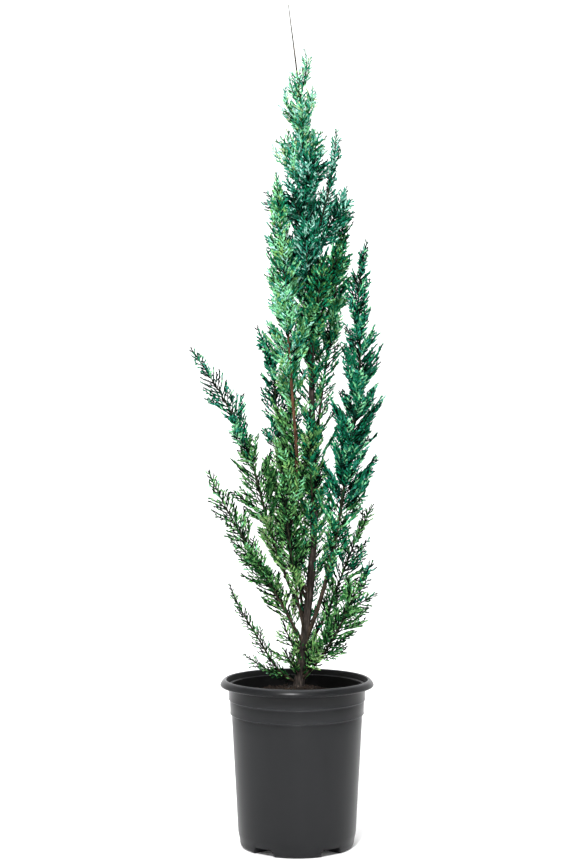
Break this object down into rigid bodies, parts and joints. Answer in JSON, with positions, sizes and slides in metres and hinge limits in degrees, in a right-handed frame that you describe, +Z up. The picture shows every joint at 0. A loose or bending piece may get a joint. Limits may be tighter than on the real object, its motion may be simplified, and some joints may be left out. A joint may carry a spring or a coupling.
{
  "type": "potted moonglow juniper",
  "caption": "Young upright juniper with slim blue-green plumes in a round dark nursery pot.",
  "frame": {"origin": "centre of the pot's flat foot, on the surface that it stands on", "axes": "+Z up along the pot's axis, -Y towards the front of the plant, +X to the right"},
  "size_m": [0.1999, 0.165, 0.904],
  "materials": {
    "pot_plastic": "satin moulded",
    "potting_mix": "damp crumbly bark and peat",
    "bark": "rough fibrous bark",
    "young_bark": "smooth young bark",
    "low_foliage": "waxy scale leaves",
    "mid_foliage": "waxy scale leaves",
    "top_foliage": "waxy scale leaves with a blue bloom"
  },
  "bodies": {
    "root": {"back_bough": "young_bark", "back_foliage": "mid_foliage", "crest_right_foliage": "top_foliage", "crown_back_foliage": "top_foliage", "crown_front_foliage": "top_foliage", "crown_front_left_foliage": "top_foliage", "crown_high_back_foliage": "top_foliage", "crown_high_front_foliage": "top_foliage", "crown_high_left_foliage": "top_foliage", "crown_high_right_foliage": "top_foliage", "crown_left_foliage": "top_foliage", "crown_low_back_foliage": "top_foliage", "crown_low_front_foliage": "top_foliage", "crown_low_right_foliage": "top_foliage", "crown_mid_left_foliage": "top_foliage", "crown_mid_right_foliage": "top_foliage", "crown_right_foliage": "top_foliage", "foot_left_foliage": "low_foliage", "foot_right_foliage": "low_foliage", "front_fan_bough": "young_bark", "front_fan_foliage": "low_foliage", "left_fan_bough": "young_bark", "left_fan_foliage": "low_foliage", "low_front_foliage": "low_foliage", "low_left_bough": "young_bark", "low_left_foliage": "mid_foliage", "low_right_bough": "young_bark", "low_right_foliage": "low_foliage", "low_right_outer_bough": "young_bark", "low_right_outer_foliage": "low_foliage", "mid_back_foliage": "mid_foliage", "mid_front_foliage": "mid_foliage", "outer_left_bough": "young_bark", "outer_left_foliage": "mid_foliage", "pot": "pot_plastic", "right_bough": "young_bark", "right_foliage": "mid_foliage", "right_inner_bough": "young_bark", "right_inner_foliage": "top_foliage", "right_mid_bough": "young_bark", "right_mid_foliage": "low_foliage", "second_bough": "young_bark", "second_foliage": "mid_foliage", "soil": "potting_mix", "third_bough": "young_bark", "third_foliage": "mid_foliage", "tip_back_foliage": "top_foliage", "tip_front_foliage": "top_foliage", "tip_left_foliage": "top_foliage", "tip_right_foliage": "top_foliage", "trunk": "bark", "upper_back_foliage": "top_foliage", "upper_front_foliage": "top_foliage", "wisp_foliage": "low_foliage", "wisp_low_foliage": "low_foliage"}
  },
  "joints": []
}
